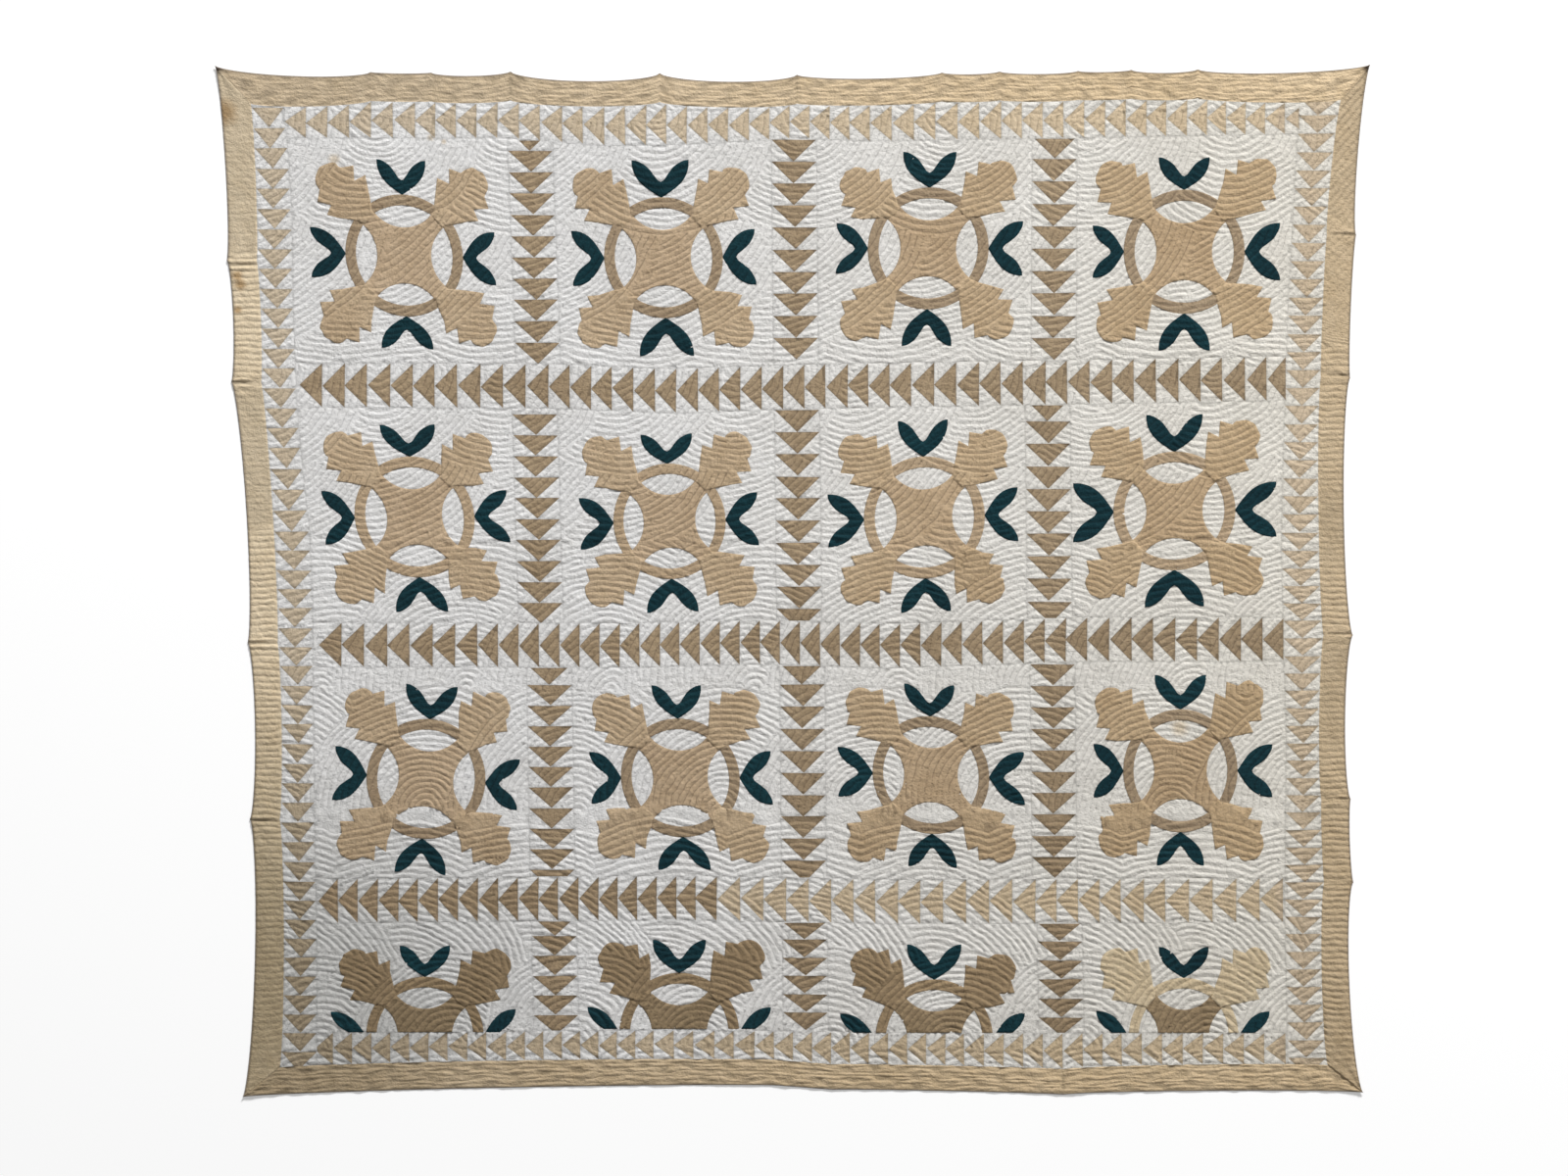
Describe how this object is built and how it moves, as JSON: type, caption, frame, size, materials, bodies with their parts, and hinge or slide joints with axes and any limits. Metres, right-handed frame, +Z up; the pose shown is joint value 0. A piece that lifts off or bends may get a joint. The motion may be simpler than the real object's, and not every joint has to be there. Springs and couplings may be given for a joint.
{
  "type": "applique quilt",
  "caption": "Applique quilt laid flat, with reels and oak leaves sewn on a pieced ground, strips of triangles and a plain border.",
  "frame": {"origin": "middle of the quilt's bounding box, on the surface that it lies on", "axes": "+X towards the right border and +Y towards the top border as the picture shows them, +Z up out of the quilt's face"},
  "size_m": [2.122, 1.896, 0.0051],
  "materials": {
    "ground": "washed off-white cotton, quilted by hand",
    "border": "faded tan cotton, quilted by hand",
    "motif": "faded rosy tan cotton, sewn on",
    "motif_brown": "brown cotton, sewn on"
  },
  "bodies": {
    "root": {"pieced_ground": "ground", "border_top": "border", "border_right": "border", "border_bottom": "border", "border_left": "border", "motif_row1_1": "motif", "motif_row1_2": "motif", "motif_row1_3": "motif", "motif_row1_4": "motif", "motif_row2_1": "motif", "motif_row2_2": "motif", "motif_row2_3": "motif", "motif_row2_4": "motif", "motif_row3_1": "motif", "motif_row3_2": "motif", "motif_row3_3": "motif", "motif_row3_4": "motif", "motif_row4_1": "motif_brown", "motif_row4_2": "motif_brown", "motif_row4_3": "motif_brown", "motif_row4_4": "motif_brown"}
  },
  "joints": []
}
